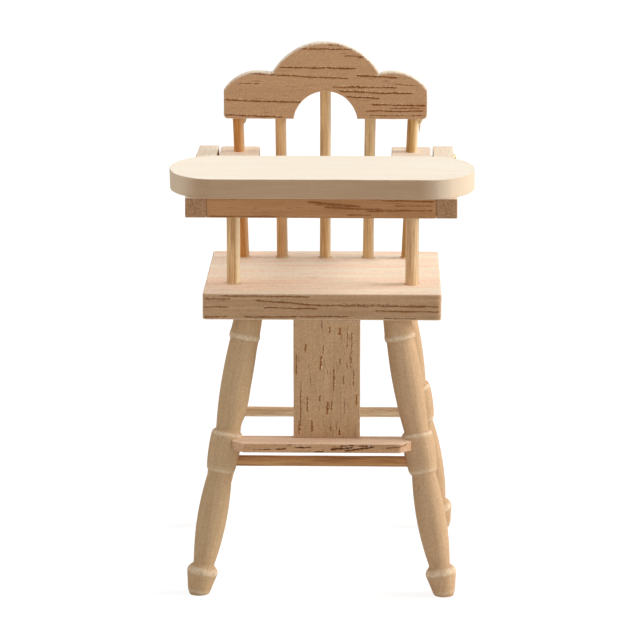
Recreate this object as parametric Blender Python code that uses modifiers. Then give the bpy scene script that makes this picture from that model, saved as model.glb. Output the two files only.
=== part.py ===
"""Dollhouse high chair in bare wood, with a meal tray that swings up and over the back.

The chair stands on the floor at z = 0 and faces -Y. The middle of its whole length and width lies on the Z axis,
and its pieces are set out from the middle of the seat.
"""

import math

import bmesh
import bpy
from mathutils import Matrix, Vector

# Fits between pieces
glue_gap = 0.0001
rest_gap = 0.0001
pin_clearance = 0.00006
cut_overrun = 0.002
weld_distance = 0.00001

# Seat board
seat_width = 0.0434
seat_depth = 0.0380
seat_thickness = 0.00485
seat_height = 0.0560
seat_corner_radius = 0.0008
leg_socket_share = 0.38
seat_socket_share = 0.30

# Eased edges of the sawn boards
board_ease = 0.00025
tray_ease = 0.0002

# Leg stance: where a leg's axis meets the floor and the underside of the seat
leg_foot_x = 0.0227
leg_foot_y = 0.0218
leg_top_x = 0.0135
leg_top_y = 0.0147

# Turned leg, from the floor up along its axis
foot_length = 0.0057
foot_rim_height = 0.0043
foot_radius = 0.00287
sole_radius = 0.00205
sole_round = 0.0005
ankle_radius = 0.00193
lower_vase_length = 0.0171
lower_vase_radius = 0.00272
barrel_neck_radius = 0.0022
barrel_length = 0.0082
barrel_shoulder = 0.0012
barrel_shoulder_radius = 0.0027
barrel_radius = 0.00293
barrel_ring_radius = 0.00285
barrel_cove = 0.0007
upper_neck_radius = 0.00228
upper_vase_length = 0.0167
upper_vase_radius = 0.00278
collar_foot_radius = 0.00262
collar_bead_radius = 0.00282
collar_bead_length = 0.0011
leg_top_radius = 0.0025
leg_sides = 20

# Stretcher dowels between the legs, placed as shares of the barrel's length
stretcher_radius = 0.0010
stretcher_socket = 0.0016
front_stretcher_share = 0.28
rear_stretcher_share = 0.222
side_stretcher_share = 0.62

# Footrest board, notched round the front legs
footrest_width = 0.0328
footrest_depth = 0.0056
footrest_thickness = 0.0017
footrest_corner = 0.0021
footrest_share = 0.84
footrest_lead = 0.0052

# Panel between the seat and the footrest
panel_width = 0.0122
panel_thickness = 0.0015
panel_offset = 0.0009

# Front posts under the armrests
post_radius = 0.00125
post_x = 0.0164
post_y = 0.0103

# Back spindles, fanned out and leaning back
spindle_radius = 0.00105
spindle_y = 0.0131
inner_spindle_foot_x = 0.0082
inner_spindle_top_x = 0.0085
outer_spindle_foot_x = 0.01555
outer_spindle_top_x = 0.0166
back_lean_deg = 3.5
spindle_socket = 0.0020

# Scalloped crest rail
crest_rise = 0.0266
crest_width = 0.0386
crest_thickness = 0.0029
crest_middle_radius = 0.0116
crest_middle_height = 0.00305
crest_side_radius = 0.00782
crest_side_x = 0.0127
crest_side_height = 0.0013
crest_arch_radius = 0.00605
crest_arch_drop = 0.0008
crest_corner_radius = 0.0008

# Armrests
arm_width = 0.0075
arm_thickness = 0.0026
arm_front = 0.0316
arm_tail = 0.0014
arm_corner_radius = 0.0009
post_socket_share = 0.5

# Tray hinge: its height over the seat, its place behind the middle and its slope at rest
hinge_rise = 0.018625
hinge_y = 0.0176
tray_slope_deg = 2.0

# Tray
tray_length = 0.0552
tray_depth = 0.0202
tray_thickness = 0.00345
tray_end_length = 0.0082
tray_front = 0.0438
bar_width = 0.00385
bar_height = 0.0036
bar_tail = 0.0021
bar_setback = 0.0006
bar_side_gap = 0.0004
apron_thickness = 0.0030

# Brass hinge nails
nail_radius = 0.00035
nail_head_radius = 0.0007
nail_head_height = 0.0005
nail_grip = 0.0030
nail_head_gap = 0.0001

# Facets
dowel_sides = 16
nail_sides = 20
arc_steps = 9
hump_steps = 14

# Colours of the bare woods and the brass
basswood = (0.74, 0.55, 0.38)
turned_wood = (0.70, 0.53, 0.36)
dowel_wood = (0.72, 0.49, 0.27)
tray_wood = (0.86, 0.71, 0.54)
apron_wood = (0.50, 0.29, 0.15)
brass = (0.80, 0.58, 0.22)
wood_roughness = 0.75
brass_roughness = 0.3

# Places that follow from the sizes
seat_underside = seat_height - seat_thickness
leg_socket = seat_thickness * leg_socket_share
seat_socket = seat_thickness * seat_socket_share
back_lean = math.radians(back_lean_deg)
tray_slope = math.radians(tray_slope_deg)
hinge = Vector((0, hinge_y, seat_height + hinge_rise))
tray_underside = bar_height / 2 + glue_gap
arm_top = tray_underside - rest_gap
arm_centre_x = outer_spindle_foot_x + (outer_spindle_top_x - outer_spindle_foot_x) * hinge_rise / crest_rise
arm_outer_x = arm_centre_x + arm_width / 2
bar_inner_x = arm_outer_x + bar_side_gap
bar_outer_x = bar_inner_x + bar_width

for old in list(bpy.data.objects):
    bpy.data.objects.remove(old, do_unlink=True)

parts = bpy.data.collections.new("dollhouse_high_chair")
bpy.context.scene.collection.children.link(parts)
cutters = bpy.data.collections.new("cutters")
bpy.context.scene.collection.children.link(cutters)


def make_material(name, colour, roughness=wood_roughness, metallic=0):
    """A Principled material of one colour."""
    material = bpy.data.materials.new(name)
    material.use_nodes = True
    shader = material.node_tree.nodes["Principled BSDF"]
    shader.inputs["Base Color"].default_value = (*colour, 1)
    shader.inputs["Roughness"].default_value = roughness
    shader.inputs["Metallic"].default_value = metallic
    material.diffuse_color = (*colour, 1)
    return material


def place(name, mesh, colour, location=(0, 0, 0), turn=None, parent=None, metallic=0, roughness=wood_roughness):
    """A named piece of the chair with its own material, set out from the seat's middle or in a parent's frame."""
    piece = bpy.data.objects.new(name, mesh)
    parts.objects.link(piece)
    piece.location = location
    if turn is not None:
        piece.rotation_euler = turn.to_euler()
    piece.parent = parent or seat_frame
    if not mesh.materials:
        mesh.materials.append(None)
    piece.material_slots[0].link = "OBJECT"
    piece.material_slots[0].material = make_material(name + "_finish", colour, roughness, metallic)
    return piece


def place_cutter(name, mesh, location=(0, 0, 0), turn=None):
    """A wire-frame cutter that only shapes its neighbours."""
    cutter = bpy.data.objects.new(name, mesh)
    cutters.objects.link(cutter)
    cutter.location = location
    if turn is not None:
        cutter.rotation_euler = turn.to_euler()
    cutter.parent = seat_frame
    cutter.hide_render = True
    cutter.display_type = "WIRE"
    return cutter


def make_group(name, location, turn=None, parent=None):
    """An empty that carries pieces set out in its own frame."""
    group = bpy.data.objects.new(name, None)
    parts.objects.link(group)
    group.location = location
    if turn is not None:
        group.rotation_euler = turn.to_euler()
    group.parent = parent
    return group


# The seat's middle, moved so that the tray's front and the rear feet lie equally far from the Z axis
front_reach = tray_front * math.cos(tray_slope) - hinge_y + tray_underside * math.sin(tray_slope)
foot_lean = (leg_foot_y - leg_top_y) / seat_underside
rear_reach = leg_foot_y + foot_radius * math.cos(foot_lean) - foot_rim_height * foot_lean
seat_frame = make_group("seat_frame", (0, (front_reach - rear_reach) / 2, 0))


def cut(piece, cutter):
    """Takes the cutter's shape out of the piece."""
    difference = piece.modifiers.new("cut_" + cutter.name, "BOOLEAN")
    difference.operation = "DIFFERENCE"
    difference.solver = "EXACT"
    difference.object = cutter


def ease_edges(piece, width, segments=2):
    """Sands the sharp edges round."""
    bevel = piece.modifiers.new("eased_edges", "BEVEL")
    bevel.width = width
    bevel.segments = segments
    bevel.limit_method = "ANGLE"
    bevel.angle_limit = math.radians(65)


def shade_round(mesh):
    """Smooth sides with crisp rims."""
    mesh.shade_smooth()
    mesh.set_sharp_from_angle(angle=math.radians(40))


def cylinder_mesh(name, radius, length, sides=dowel_sides):
    """A cylinder along Z, centred on the origin."""
    form = bmesh.new()
    bmesh.ops.create_cone(form, cap_ends=True, segments=sides, radius1=radius, radius2=radius, depth=length)
    mesh = bpy.data.meshes.new(name)
    form.to_mesh(mesh)
    form.free()
    shade_round(mesh)
    return mesh


def board_mesh(name, width, depth, thickness, corner_radius=0):
    """A sawn board centred on the origin, with its upright corners rounded where a radius is given."""
    form = bmesh.new()
    bmesh.ops.create_cube(form, size=1)
    bmesh.ops.scale(form, verts=form.verts, vec=(width, depth, thickness))
    if corner_radius > 0:
        upright = []
        for edge in form.edges:
            low, high = edge.verts
            if abs(low.co.z - high.co.z) > thickness / 2:
                upright.append(edge)
        bmesh.ops.bevel(form, geom=upright, offset=corner_radius, segments=4, profile=0.5, affect="EDGES")
    mesh = bpy.data.meshes.new(name)
    form.to_mesh(mesh)
    form.free()
    return mesh


def outline_mesh(name, points, thickness):
    """A flat outline in the XY plane, filled and extruded by half the thickness each way."""
    curve = bpy.data.curves.new(name, "CURVE")
    curve.dimensions = "2D"
    curve.fill_mode = "BOTH"
    curve.extrude = thickness / 2
    spline = curve.splines.new("POLY")
    spline.points.add(len(points) - 1)
    for slot, point in zip(spline.points, points):
        slot.co = (point[0], point[1], 0, 1)
    spline.use_cyclic_u = True
    sketch = bpy.data.objects.new(name, curve)
    cutters.objects.link(sketch)
    evaluated = sketch.evaluated_get(bpy.context.evaluated_depsgraph_get())
    mesh = bpy.data.meshes.new_from_object(evaluated)
    bpy.data.objects.remove(sketch, do_unlink=True)
    form = bmesh.new()
    form.from_mesh(mesh)
    bmesh.ops.remove_doubles(form, verts=form.verts, dist=weld_distance)
    bmesh.ops.dissolve_limit(form, angle_limit=math.radians(1), verts=form.verts, edges=form.edges)
    bmesh.ops.recalc_face_normals(form, faces=form.faces)
    form.to_mesh(mesh)
    form.free()
    return mesh


def arc_points(centre, radius, start, end, steps=arc_steps):
    """Points along an arc, from one angle to another."""
    points = []
    for step in range(steps + 1):
        angle = start + (end - start) * step / steps
        points.append((centre[0] + radius * math.cos(angle), centre[1] + radius * math.sin(angle)))
    return points


def aim(direction):
    """The turn that lays the Z axis along a direction."""
    return direction.to_track_quat("Z", "Y")


def place_dowel(name, start, end, radius, colour):
    """A straight dowel from one point to another."""
    along = end - start
    return place(name, cylinder_mesh(name, radius, along.length), colour, (start + end) / 2, aim(along))


def cut_socket(piece, name, start, end, radius, sides=dowel_sides):
    """Drills a piece along a line between two points."""
    along = end - start
    cutter = place_cutter(name, cylinder_mesh(name, radius, along.length, sides), (start + end) / 2, aim(along))
    cut(piece, cutter)
    return cutter


# Turned legs


def swell(start, end, start_radius, belly_radius, end_radius, steps):
    """Points of a turned belly between two necks, after the first neck."""
    points = []
    rise = belly_radius - (start_radius + end_radius) / 2
    for step in range(1, steps + 1):
        share = step / steps
        radius = start_radius + (end_radius - start_radius) * share + rise * 4 * share * (1 - share)
        points.append((radius, start + (end - start) * share))
    return points


def leg_axis(side, face):
    """The points where a leg's axis meets the floor and the seat's underside."""
    foot = Vector((side * leg_foot_x, face * leg_foot_y, 0))
    top = Vector((side * leg_top_x, face * leg_top_y, seat_underside))
    return foot, top


leg_length = (leg_axis(1, 1)[1] - leg_axis(1, 1)[0]).length
ankle = foot_length
barrel_start = ankle + lower_vase_length
barrel_end = barrel_start + barrel_length
collar_start = barrel_end + upper_vase_length
collar_middle = collar_start + collar_bead_length
leg_end = leg_length + leg_socket


def leg_profile(extra):
    """The leg's outline as (radius, height along the axis), sole first, fatter by extra."""
    rim = foot_rim_height
    shoulder = barrel_start + barrel_shoulder
    ring = barrel_end - barrel_cove
    points = [(0, -sole_round), (sole_radius - sole_round, -sole_round), (sole_radius, sole_round)]
    points += [(foot_radius, rim), ((foot_radius + ankle_radius) / 2 + sole_round / 2, (rim + ankle) / 2)]
    points += [(ankle_radius, ankle)]
    points += swell(ankle, barrel_start, ankle_radius, lower_vase_radius, barrel_neck_radius, 8)
    points += [((barrel_neck_radius + barrel_shoulder_radius) / 2 + barrel_shoulder / 6, barrel_start + barrel_shoulder / 3)]
    points += [(barrel_shoulder_radius, shoulder)]
    points += swell(shoulder, ring, barrel_shoulder_radius, barrel_radius, barrel_ring_radius, 3)
    points += [(upper_neck_radius + barrel_cove / 6, ring + barrel_cove / 2), (upper_neck_radius, barrel_end)]
    points += swell(barrel_end, collar_start, upper_neck_radius, upper_vase_radius, collar_foot_radius, 7)
    points += swell(collar_start, collar_middle, collar_foot_radius, collar_bead_radius, collar_bead_radius, 2)
    points += [((collar_bead_radius + leg_top_radius) / 2, (collar_middle + leg_length) / 2)]
    points += [(leg_top_radius, leg_length - sole_round), (leg_top_radius, leg_end), (0, leg_end)]
    return [(radius + extra if radius > 0 else 0, height) for radius, height in points]


def leg_mesh(name, extra=0):
    """Half of the leg's section, drawn from the top down, for the lathe."""
    points = [(radius, 0, height) for radius, height in reversed(leg_profile(extra))]
    mesh = bpy.data.meshes.new(name)
    mesh.from_pydata(points, [(i, i + 1) for i in range(len(points) - 1)], [])
    return mesh


def turn_on_lathe(piece):
    """Spins the profile about the piece's own Z axis."""
    screw = piece.modifiers.new("lathe", "SCREW")
    screw.axis = "Z"
    screw.steps = leg_sides
    screw.render_steps = leg_sides
    screw.use_merge_vertices = True
    screw.merge_threshold = weld_distance
    screw.use_smooth_shade = True


def barrel_point(side, face, share):
    """A point on a leg's axis, at a share of the barrel's length."""
    foot, top = leg_axis(side, face)
    height = barrel_start + barrel_length * share
    return foot + (top - foot) * height / leg_length


floor_size = 2 * (leg_foot_x + leg_foot_y)
floor_cutter = place_cutter("floor_cutter", board_mesh("floor_cutter", floor_size, floor_size, cut_overrun))
floor_cutter.location = (0, 0, -cut_overrun / 2)

legs = {}
leg_names = {(-1, -1): "front_leg_left", (1, -1): "front_leg_right", (-1, 1): "rear_leg_left", (1, 1): "rear_leg_right"}
turned_leg = leg_mesh("turned_leg")
for (side, face), name in leg_names.items():
    foot, top = leg_axis(side, face)
    leg = place(name, turned_leg, turned_wood, foot, aim(top - foot))
    turn_on_lathe(leg)
    cut(leg, floor_cutter)
    legs[side, face] = leg


# Stretchers


def place_stretcher(name, start_key, end_key, share):
    """A dowel between two legs, held in a drilled socket at each end."""
    start = barrel_point(*start_key, share)
    end = barrel_point(*end_key, share)
    along = (end - start).normalized()
    inset = barrel_radius - stretcher_socket
    place_dowel(name, start + along * (inset + glue_gap), end - along * (inset + glue_gap), stretcher_radius, dowel_wood)
    reach = barrel_radius + cut_overrun
    bore = stretcher_radius + glue_gap
    cut_socket(legs[start_key], name + "_start_socket", start + along * inset, start + along * reach, bore)
    cut_socket(legs[end_key], name + "_end_socket", end - along * reach, end - along * inset, bore)


place_stretcher("front_stretcher", (-1, -1), (1, -1), front_stretcher_share)
place_stretcher("rear_stretcher", (-1, 1), (1, 1), rear_stretcher_share)
place_stretcher("side_stretcher_left", (-1, -1), (-1, 1), side_stretcher_share)
place_stretcher("side_stretcher_right", (1, -1), (1, 1), side_stretcher_share)


# Seat

seat_middle = (0, 0, seat_height - seat_thickness / 2)
seat_form = board_mesh("seat", seat_width, seat_depth, seat_thickness, seat_corner_radius)
seat = place("seat", seat_form, basswood, seat_middle)
ease_edges(seat, board_ease)
for (side, face), name in leg_names.items():
    foot, top = leg_axis(side, face)
    along = (top - foot).normalized()
    inner = top + along * (leg_socket + glue_gap)
    outer = top - along * cut_overrun
    cut_socket(seat, name + "_socket", outer, inner, leg_top_radius + glue_gap, leg_sides)


# Footrest and the panel that hangs it from the seat

footrest_axis = barrel_point(1, -1, footrest_share)
footrest_top = footrest_axis.z
footrest_front = -(abs(footrest_axis.y) + footrest_lead)
half_width = footrest_width / 2
footrest_rear = footrest_front + footrest_depth
footrest_outline = [
    (-half_width, footrest_rear),
    (-half_width, footrest_front + footrest_corner),
    (-half_width + footrest_corner, footrest_front),
    (half_width - footrest_corner, footrest_front),
    (half_width, footrest_front + footrest_corner),
    (half_width, footrest_rear),
]
footrest_form = outline_mesh("footrest", footrest_outline, footrest_thickness)
footrest = place("footrest", footrest_form, basswood, (0, 0, footrest_top - footrest_thickness / 2))
ease_edges(footrest, board_ease, 1)
fat_leg = leg_mesh("fat_leg", glue_gap)
for side in (-1, 1):
    foot, top = leg_axis(side, -1)
    notch = place_cutter(leg_names[side, -1] + "_notch", fat_leg, foot, aim(top - foot))
    turn_on_lathe(notch)
    cut(footrest, notch)

panel_height = seat_underside - footrest_top - 2 * glue_gap
panel_y = footrest_rear - panel_thickness / 2
panel_form = board_mesh("leg_panel", panel_width, panel_thickness, panel_height)
leg_panel = place("leg_panel", panel_form, basswood, (panel_offset, panel_y, footrest_top + glue_gap + panel_height / 2))
ease_edges(leg_panel, board_ease / 2, 1)


# Hinge axis, armrests and front posts

slope_turn = Matrix.Rotation(tray_slope, 3, "X")
arm_length = arm_front + arm_tail
arm_shift = slope_turn @ Vector((0, (arm_tail - arm_front) / 2, arm_top - arm_thickness / 2))
side_names = {-1: "left", 1: "right"}
armrests = {}
for side, label in side_names.items():
    arm_form = board_mesh("armrest_" + label, arm_width, arm_length, arm_thickness, arm_corner_radius)
    arm_place = hinge + arm_shift + Vector((side * arm_centre_x, 0, 0))
    armrests[side] = place("armrest_" + label, arm_form, basswood, arm_place, slope_turn)
    ease_edges(armrests[side], board_ease, 1)


def arm_underside_z(y):
    """Height of the armrest's underside at a place along the chair."""
    local = arm_top - arm_thickness
    return hinge.z + (y - hinge.y) * math.tan(tray_slope) + local / math.cos(tray_slope)


post_socket = arm_thickness * post_socket_share
post_top = arm_underside_z(-post_y) + post_socket
for side, label in side_names.items():
    base = Vector((side * post_x, -post_y, seat_height - seat_socket))
    top = Vector((side * post_x, -post_y, post_top))
    step = Vector((0, 0, glue_gap))
    over = Vector((0, 0, cut_overrun))
    place_dowel("front_post_" + label, base, top, post_radius, dowel_wood)
    bore = post_radius + glue_gap
    cut_socket(seat, "post_seat_socket_" + label, base - step, base + over, bore)
    cut_socket(armrests[side], "post_arm_socket_" + label, top - over, top + step, bore)


# Back spindles and crest rail

back_turn = Matrix.Rotation(-back_lean, 3, "X")
crest_base = Vector((0, spindle_y + crest_rise * math.tan(back_lean), seat_height + crest_rise))


def hump_meeting():
    """Where the middle hump's circle meets the side hump's, on the right."""
    gap = Vector((crest_side_x, crest_side_height - crest_middle_height))
    along = (gap.length_squared + crest_middle_radius**2 - crest_side_radius**2) / (2 * gap.length)
    across = math.sqrt(crest_middle_radius**2 - along**2)
    way = gap.normalized()
    return Vector((0, crest_middle_height)) + way * along + Vector((-way.y, way.x)) * across


def angle_at(centre, point):
    """The direction of a point seen from a centre."""
    return math.atan2(point[1] - centre[1], point[0] - centre[0])


def crest_outline():
    """The cloud-shaped outline, from the bottom right corner anticlockwise."""
    half = crest_width / 2
    corner = crest_corner_radius
    side_centre = (crest_side_x, crest_side_height)
    middle_centre = (0, crest_middle_height)
    valley = hump_meeting()
    shoulder_angle = math.acos((half - crest_side_x) / crest_side_radius)
    arch_angle = math.asin(crest_arch_drop / crest_arch_radius)
    right = arc_points((half - corner, corner), corner, -math.pi / 2, 0, 3)
    right += arc_points(side_centre, crest_side_radius, shoulder_angle, angle_at(side_centre, valley), arc_steps)
    valley_angle = angle_at(middle_centre, valley)
    hump = arc_points(middle_centre, crest_middle_radius, valley_angle, math.pi - valley_angle, hump_steps)
    left = [(-x, y) for x, y in reversed(right)]
    arch = arc_points((0, -crest_arch_drop), crest_arch_radius, math.pi - arch_angle, arch_angle, hump_steps)
    return right + hump[1:-1] + left + arch


crest_form = outline_mesh("crest_rail", crest_outline(), crest_thickness)
upright = Matrix.Rotation(math.pi / 2, 3, "X")
crest = place("crest_rail", crest_form, basswood, crest_base, back_turn @ upright)
ease_edges(crest, board_ease)

spindle_rows = {
    "outer_left": (-outer_spindle_foot_x, -outer_spindle_top_x, 0),
    "inner_left": (-inner_spindle_foot_x, -inner_spindle_top_x, 0),
    "centre": (0, 0, crest_arch_radius - crest_arch_drop),
    "inner_right": (inner_spindle_foot_x, inner_spindle_top_x, 0),
    "outer_right": (outer_spindle_foot_x, outer_spindle_top_x, 0),
}
for label, (foot_x, top_x, extra_rise) in spindle_rows.items():
    foot = Vector((foot_x, spindle_y, seat_height))
    rise = Vector((top_x - foot_x, crest_rise * math.tan(back_lean), crest_rise))
    along = rise.normalized()
    top = foot + rise * (1 + extra_rise / crest_rise)
    low = foot - along * seat_socket
    high = top + along * spindle_socket
    place_dowel("spindle_" + label, low, high, spindle_radius, dowel_wood)
    bore = spindle_radius + glue_gap
    cut_socket(seat, "spindle_seat_socket_" + label, low - along * glue_gap, foot + along * cut_overrun, bore)
    cut_socket(crest, "spindle_crest_socket_" + label, top - along * cut_overrun, high + along * glue_gap, bore)
    if label.startswith("outer"):
        arm = armrests[1 if foot_x > 0 else -1]
        arm_level = foot + along * hinge_rise
        span = along * (arm_thickness + cut_overrun)
        cut_socket(arm, "spindle_arm_hole_" + label, arm_level - span, arm_level + span, bore)


# Swinging tray, set out level about its hinge and then sloped

tray_group = make_group("tray_hinge", hinge, slope_turn, seat_frame)


def half_ellipse(centre_x, reach, half_depth, steps):
    """Points round one rounded end of the tray, from front to rear."""
    points = []
    for step in range(steps + 1):
        angle = -math.pi / 2 + math.pi * step / steps
        points.append((centre_x + reach * math.cos(angle), half_depth * math.sin(angle)))
    return points


tray_straight = tray_length / 2 - tray_end_length
right_end = half_ellipse(tray_straight, tray_end_length, tray_depth / 2, hump_steps)
left_end = [(-x, y) for x, y in reversed(right_end)]
tray_form = outline_mesh("tray_top", right_end + left_end, tray_thickness)
tray_y = -tray_front + tray_depth / 2
tray_top = place(
    "tray_top", tray_form, tray_wood, (0, tray_y, tray_underside + tray_thickness / 2), parent=tray_group
)
ease_edges(tray_top, tray_ease)

bar_front = tray_front - bar_setback
bar_length = bar_front + bar_tail
bar_y = (bar_tail - bar_front) / 2
bar_x = (bar_inner_x + bar_outer_x) / 2
apron_length = 2 * (bar_inner_x - glue_gap)
apron_form = board_mesh("tray_apron", apron_length, apron_thickness, bar_height)
tray_apron = place("tray_apron", apron_form, apron_wood, (0, -bar_front + apron_thickness / 2, 0), parent=tray_group)
ease_edges(tray_apron, board_ease / 2, 1)

for side, label in side_names.items():
    bar_form = board_mesh("tray_bar_" + label, bar_width, bar_length, bar_height)
    bar = place("tray_bar_" + label, bar_form, basswood, (side * bar_x, bar_y, 0), parent=tray_group)
    ease_edges(bar, board_ease, 1)
    outside = hinge + Vector((side * (bar_outer_x + cut_overrun), 0, 0))
    inside = hinge + Vector((side * (arm_outer_x - nail_grip - nail_head_gap), 0, 0))
    between = hinge + Vector((side * (arm_outer_x + bar_side_gap / 2), 0, 0))
    bore = nail_radius + pin_clearance
    cut_socket(bar, "nail_bar_hole_" + label, between, outside, bore, nail_sides)
    cut_socket(armrests[side], "nail_arm_hole_" + label, inside, between, bore, nail_sides)


# Brass nails that the tray turns on


def nail_mesh(name):
    """Half of a round-headed nail's section, head at the top of the Z axis."""
    shank = arm_outer_x - nail_grip
    seat_level = bar_outer_x + nail_head_gap
    points = [(0, 0, seat_level + nail_head_height)]
    for step in range(1, 5):
        angle = math.pi / 2 * step / 4
        points.append((nail_head_radius * math.sin(angle), 0, seat_level + nail_head_height * math.cos(angle)))
    points += [(nail_radius, 0, seat_level), (nail_radius, 0, shank + nail_radius), (0, 0, shank)]
    mesh = bpy.data.meshes.new(name)
    mesh.from_pydata(points, [(i, i + 1) for i in range(len(points) - 1)], [])
    return mesh


for side, label in side_names.items():
    direction = Vector((side, 0, 0))
    nail = place(
        "hinge_nail_" + label, nail_mesh("hinge_nail_" + label), brass, hinge, aim(direction),
        metallic=1, roughness=brass_roughness,
    )
    turn_on_lathe(nail)
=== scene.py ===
import math

import bmesh
import bpy
from mathutils import Matrix, Vector, noise


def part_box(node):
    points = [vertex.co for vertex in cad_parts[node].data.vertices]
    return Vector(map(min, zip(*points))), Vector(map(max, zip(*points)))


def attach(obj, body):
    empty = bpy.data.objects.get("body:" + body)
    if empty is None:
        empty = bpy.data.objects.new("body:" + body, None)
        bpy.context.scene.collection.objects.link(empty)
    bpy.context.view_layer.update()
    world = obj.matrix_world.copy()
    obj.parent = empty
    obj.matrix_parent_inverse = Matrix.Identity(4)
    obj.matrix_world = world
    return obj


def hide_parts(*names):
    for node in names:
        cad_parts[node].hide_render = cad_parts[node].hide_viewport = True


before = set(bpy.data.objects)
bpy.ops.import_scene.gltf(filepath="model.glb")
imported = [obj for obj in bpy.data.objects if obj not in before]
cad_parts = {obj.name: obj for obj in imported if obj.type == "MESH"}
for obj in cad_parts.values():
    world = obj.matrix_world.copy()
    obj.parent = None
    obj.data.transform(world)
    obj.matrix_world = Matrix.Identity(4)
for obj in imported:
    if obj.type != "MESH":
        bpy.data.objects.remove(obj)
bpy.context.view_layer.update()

# Seat board: a thick sawn board of bare wood, sanded pale on top, with long dark streaks on its front edge;
# the front edge's darker tone is partly painted shade.
# The legs are glued into it from below, and the posts and spindles stand in holes drilled in its top.


def fill_in(tree, node, inputs):
    """Fills a node's inputs with values, colours or links."""
    for name, value in inputs.items():
        socket = node.inputs[name]
        if isinstance(value, bpy.types.NodeSocket):
            tree.links.new(value, socket)
        elif socket.type == "RGBA":
            socket.default_value = (*value, 1)
        else:
            socket.default_value = value


def lay_node(tree, kind, inputs=None, **options):
    """Adds a shader node, sets its options and fills in its inputs."""
    node = tree.nodes.new(kind)
    for option, value in options.items():
        setattr(node, option, value)
    fill_in(tree, node, inputs or {})
    return node


def reckon(tree, operation, first, second=0.0):
    """One step of arithmetic on values or links."""
    return lay_node(tree, "ShaderNodeMath", {0: first, 1: second}, operation=operation).outputs[0]


def times(tree, first, second):
    """One value or link multiplied by another."""
    return reckon(tree, "MULTIPLY", first, second)


def join_parts(tree, x, y, z):
    """A vector from three values or links."""
    return lay_node(tree, "ShaderNodeCombineXYZ", {0: x, 1: y, 2: z}).outputs[0]


def parts_of(tree, vector):
    """The X, Y and Z of a vector."""
    return lay_node(tree, "ShaderNodeSeparateXYZ", {0: vector}).outputs


def mesh_mark(tree, name):
    """What a mesh carries under a name: its "grain", where it is "facing", or its "edge"."""
    return lay_node(tree, "ShaderNodeAttribute", attribute_name=name).outputs


def fade(tree, value, start, end, before=0.0, after=1.0):
    """Runs smoothly from one value to another between two limits."""
    inputs = {"Value": value, "From Min": start, "From Max": end, "To Min": before, "To Max": after}
    return lay_node(tree, "ShaderNodeMapRange", inputs, interpolation_type="SMOOTHSTEP").outputs["Result"]


def lay_over(tree, share, below, above):
    """Lays one colour over another by a share."""
    return lay_node(tree, "ShaderNodeMix", {0: share, 6: below, 7: above}, data_type="RGBA").outputs[2]


def speckle(tree, vector, scale, detail=2.0, roughness=0.5, distortion=0.0):
    """Soft noise over the surface."""
    inputs = dict(Vector=vector, Scale=scale, Detail=detail, Roughness=roughness, Distortion=distortion)
    return lay_node(tree, "ShaderNodeTexNoise", inputs).outputs["Fac"]


def bumps(tree, height, distance, strength):
    """The normal of a surface with small bumps."""
    inputs = {"Height": height, "Distance": distance, "Strength": strength}
    return lay_node(tree, "ShaderNodeBump", inputs).outputs["Normal"]


def new_effect(name, inputs, outputs):
    """An empty node group with a socket for each name; returns its tree, its inputs and its output node."""
    tree = bpy.data.node_groups.new(name, "ShaderNodeTree")
    kinds = {"Vector": "NodeSocketVector", "Color": "NodeSocketColor", "Edge Color": "NodeSocketColor"}
    for way, labels in (("INPUT", inputs), ("OUTPUT", outputs)):
        for label in labels:
            kind = kinds.get(label, "NodeSocketFloat")
            tree.interface.new_socket(name=label, in_out=way, socket_type=kind)
    return tree, tree.nodes.new("NodeGroupInput").outputs, tree.nodes.new("NodeGroupOutput")


def use_effect(tree, effect, inputs):
    """Lays a node group in a material and returns its outputs."""
    return lay_node(tree, "ShaderNodeGroup", inputs, node_tree=effect).outputs


def make_wood_figure():
    """Growth bands, fibres and pores drawn out along X, sanding fuzz, and tool marks across it."""
    outputs = ["Bands", "Fibres", "Pores", "Fuzz", "Tooling"]
    tree, given, result = new_effect("wood_figure", ["Vector", "Fineness", "Seed"], outputs)
    start = {0: given["Vector"], 1: given["Seed"]}
    moved = lay_node(tree, "ShaderNodeVectorMath", start, operation="ADD").outputs[0]
    sizing = {0: moved, "Scale": given["Fineness"]}
    sized = lay_node(tree, "ShaderNodeVectorMath", sizing, operation="SCALE").outputs[0]

    def drawn(along, across=1):
        """The place on the wood, with other scales along the grain and across it."""
        scale = (along, across, across)
        return lay_node(tree, "ShaderNodeMapping", {"Vector": sized, "Scale": scale}).outputs[0]

    fill_in(tree, result, {
        "Bands": speckle(tree, drawn(0.06), 420, 3, 0.6, 0.6),
        "Fibres": speckle(tree, drawn(0.035), 2600, 3, 0.65),
        "Pores": fade(tree, speckle(tree, drawn(0.12), 3000, 1), 0.66, 0.76),
        "Fuzz": speckle(tree, sized, 4600, 3, 0.7),
        "Tooling": speckle(tree, drawn(1, 0.14), 2700, 3, 0.7),
    })
    return tree


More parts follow.
